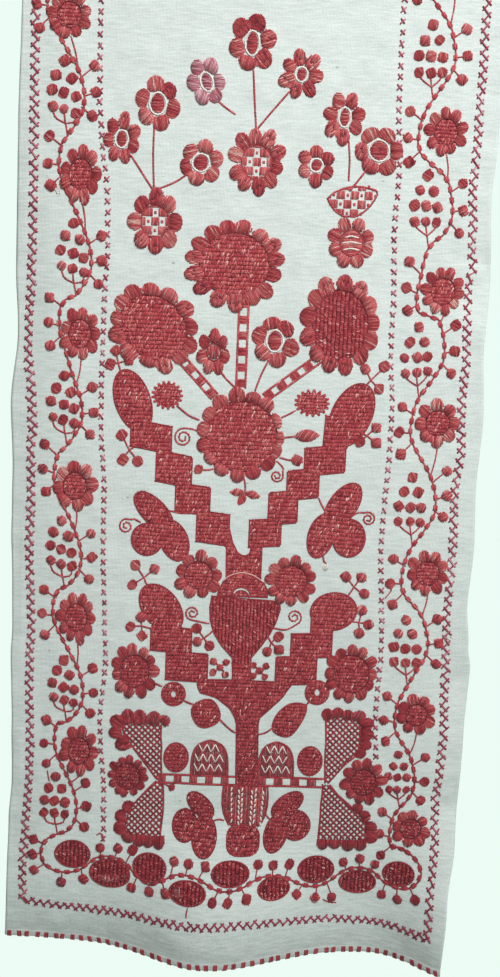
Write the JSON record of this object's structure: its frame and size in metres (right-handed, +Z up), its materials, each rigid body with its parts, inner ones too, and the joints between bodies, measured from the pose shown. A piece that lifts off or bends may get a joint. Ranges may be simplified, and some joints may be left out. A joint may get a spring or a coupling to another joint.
{
  "type": "rushnyk ritual towel",
  "caption": "Long narrow linen rushnyk that hangs by its top edge, embroidered in red with a tree of life and vine borders, its rolled hem flaring into soft waves.",
  "frame": {"origin": "middle of the top edge, where the towel is held", "axes": "+Z up the towel, +X to the viewer's right across it, -Y out of its embroidered face"},
  "size_m": [0.4912, 0.051, 1.211],
  "materials": {
    "bleached_linen": "plain weave, matte",
    "red_cotton": "stranded embroidery cotton, soft sheen",
    "white_cotton": "embroidery cotton, matte"
  },
  "bodies": {
    "root": {"towel_cloth": "bleached_linen"}
  },
  "joints": []
}
